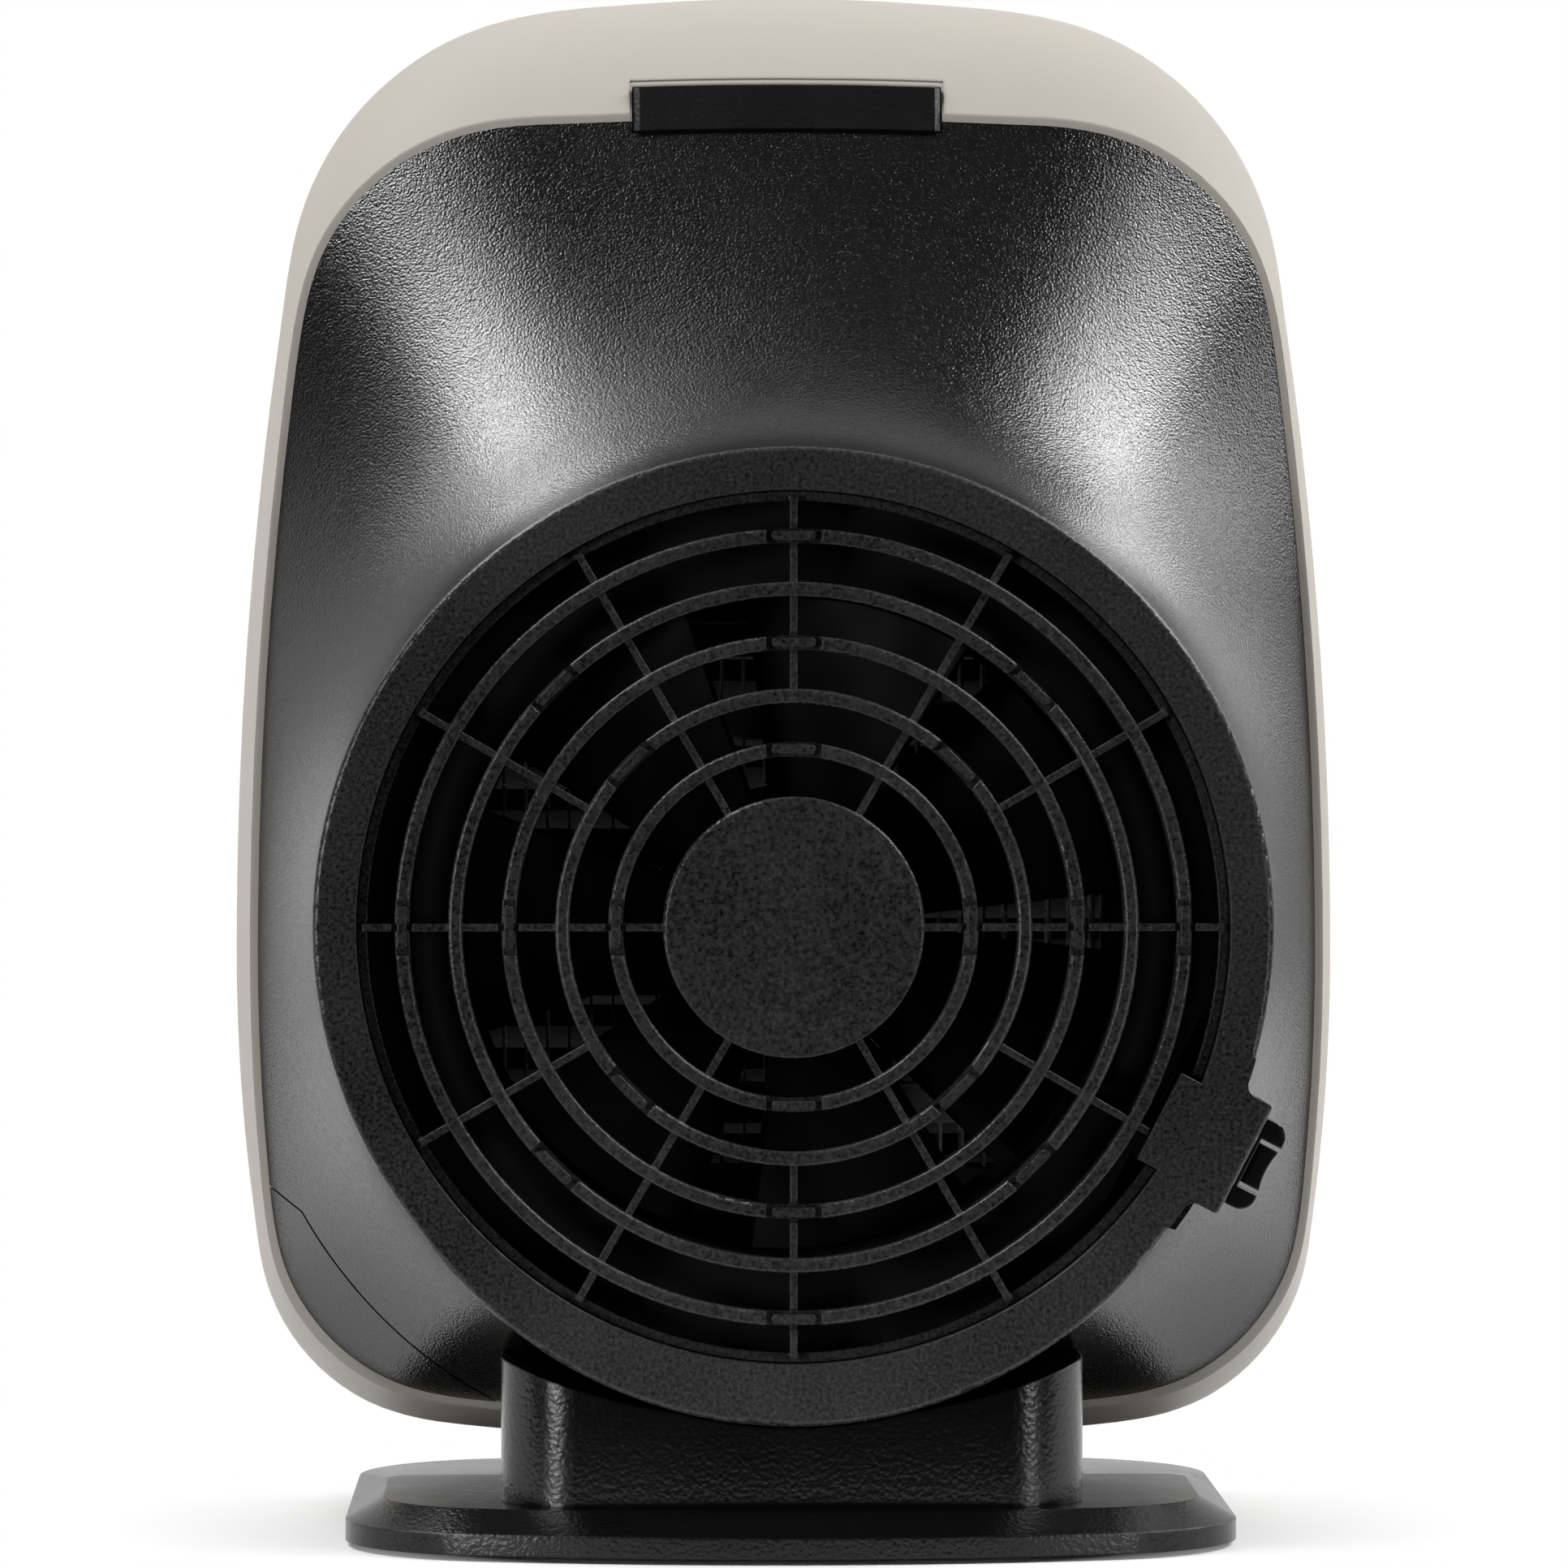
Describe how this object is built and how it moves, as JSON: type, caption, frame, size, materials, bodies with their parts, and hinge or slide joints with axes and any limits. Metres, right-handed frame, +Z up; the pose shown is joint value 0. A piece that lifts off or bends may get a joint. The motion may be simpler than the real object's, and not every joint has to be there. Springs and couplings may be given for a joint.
{
  "type": "fan heater",
  "caption": "Free-standing fan heater: rounded pale casing, dark flared rear cover with a round ribbed intake grille, side rocker switch, louvred front outlet, neck and flat base.",
  "frame": {"origin": "on the floor, under the middle of the object's box", "axes": "+Z up, the hot-air outlet faces -Y, the intake grille faces +Y, the rocker switch is on the -X side"},
  "size_m": [0.2001, 0.15, 0.2754],
  "materials": {
    "casing_cream": "satin moulded plastic, warm off-white",
    "cover_charcoal": "satin charcoal plastic with a fine spark-eroded grain",
    "neck_charcoal": "matt charcoal plastic with a coarse leather-like grain",
    "grille_black": "matt black textured plastic",
    "switch_black": "polished black plastic",
    "inner_black": "plain black moulded plastic",
    "soft_black": "soft black rubber",
    "steel": "plain turned steel",
    "zinc_plate": "zinc-plated sheet steel",
    "duct_black": "sheet steel with a black heat-proof coat",
    "iron": "dark laminated or plain iron",
    "brass": "plain brass or sintered bronze",
    "fin_aluminium": "bare thin aluminium sheet",
    "ceramic_bar": "grey heating ceramic in thin sleeves",
    "heat_frame": "heat-proof black plastic",
    "board_green": "lacquered circuit board",
    "lead_brown": "smooth wire insulation"
  },
  "bodies": {
    "casing": {"rear_cover": "cover_charcoal", "corner_panel": "cover_charcoal", "cord_inlet": "soft_black", "intake_ring": "grille_black", "outer_shell": "casing_cream", "front_bezel": "casing_cream", "top_tab": "grille_black", "intake_grille": "grille_black", "switch_body": "switch_black", "switch_terminals": "brass", "fan_shroud": "inner_black", "motor_can": "zinc_plate", "motor_stator": "iron", "motor_bushes": "brass", "motor_bracket": "inner_black", "motor_screws": "steel", "bracket_screws": "steel", "air_duct": "duct_black", "ptc_frame": "heat_frame", "ptc_bars": "ceramic_bar", "ptc_fins": "fin_aluminium", "thermal_cutout": "steel", "thermal_fuse": "brass", "power_board": "board_green", "power_standoffs": "heat_frame", "terminal_block": "heat_frame", "switch_leads": "lead_brown", "outlet_panel": "inner_black", "control_panel": "switch_black", "control_board": "board_green", "tact_switches": "soft_black", "neck": "neck_charcoal", "neck_screws": "steel", "base_cover": "neck_charcoal", "ballast_plate": "iron", "base_screws": "steel", "feet": "soft_black", "tip_switch": "inner_black"},
    "fan": {"fan_impeller": "inner_black", "fan_clip": "steel", "motor_shaft": "steel", "motor_rotor": "iron"},
    "rocker": {"switch_rocker": "switch_black"},
    "key_1": {"control_key_1": "casing_cream"},
    "key_2": {"control_key_2": "casing_cream"},
    "key_3": {"control_key_3": "casing_cream"}
  },
  "joints": [
    {"name": "fan_spin", "type": "hinge", "parent": "casing", "child": "fan", "pos_m": [0, 0.026, 0.1083], "axis": [0, 1, 0], "continuous": true},
    {"name": "rocker_tilt", "type": "hinge", "parent": "casing", "child": "rocker", "pos_m": [-0.07687, 0.053, 0.06863], "axis": [0, 1, 0], "range_deg": [-6, 6]},
    {"name": "key_1_press", "type": "slide", "parent": "casing", "child": "key_1", "axis": [0, 1, 0], "range_m": [0, 0.0008], "stiffness_N_per_m": 1500},
    {"name": "key_2_press", "type": "slide", "parent": "casing", "child": "key_2", "axis": [0, 1, 0], "range_m": [0, 0.0008], "stiffness_N_per_m": 1500},
    {"name": "key_3_press", "type": "slide", "parent": "casing", "child": "key_3", "axis": [0, 1, 0], "range_m": [0, 0.0008], "stiffness_N_per_m": 1500}
  ]
}
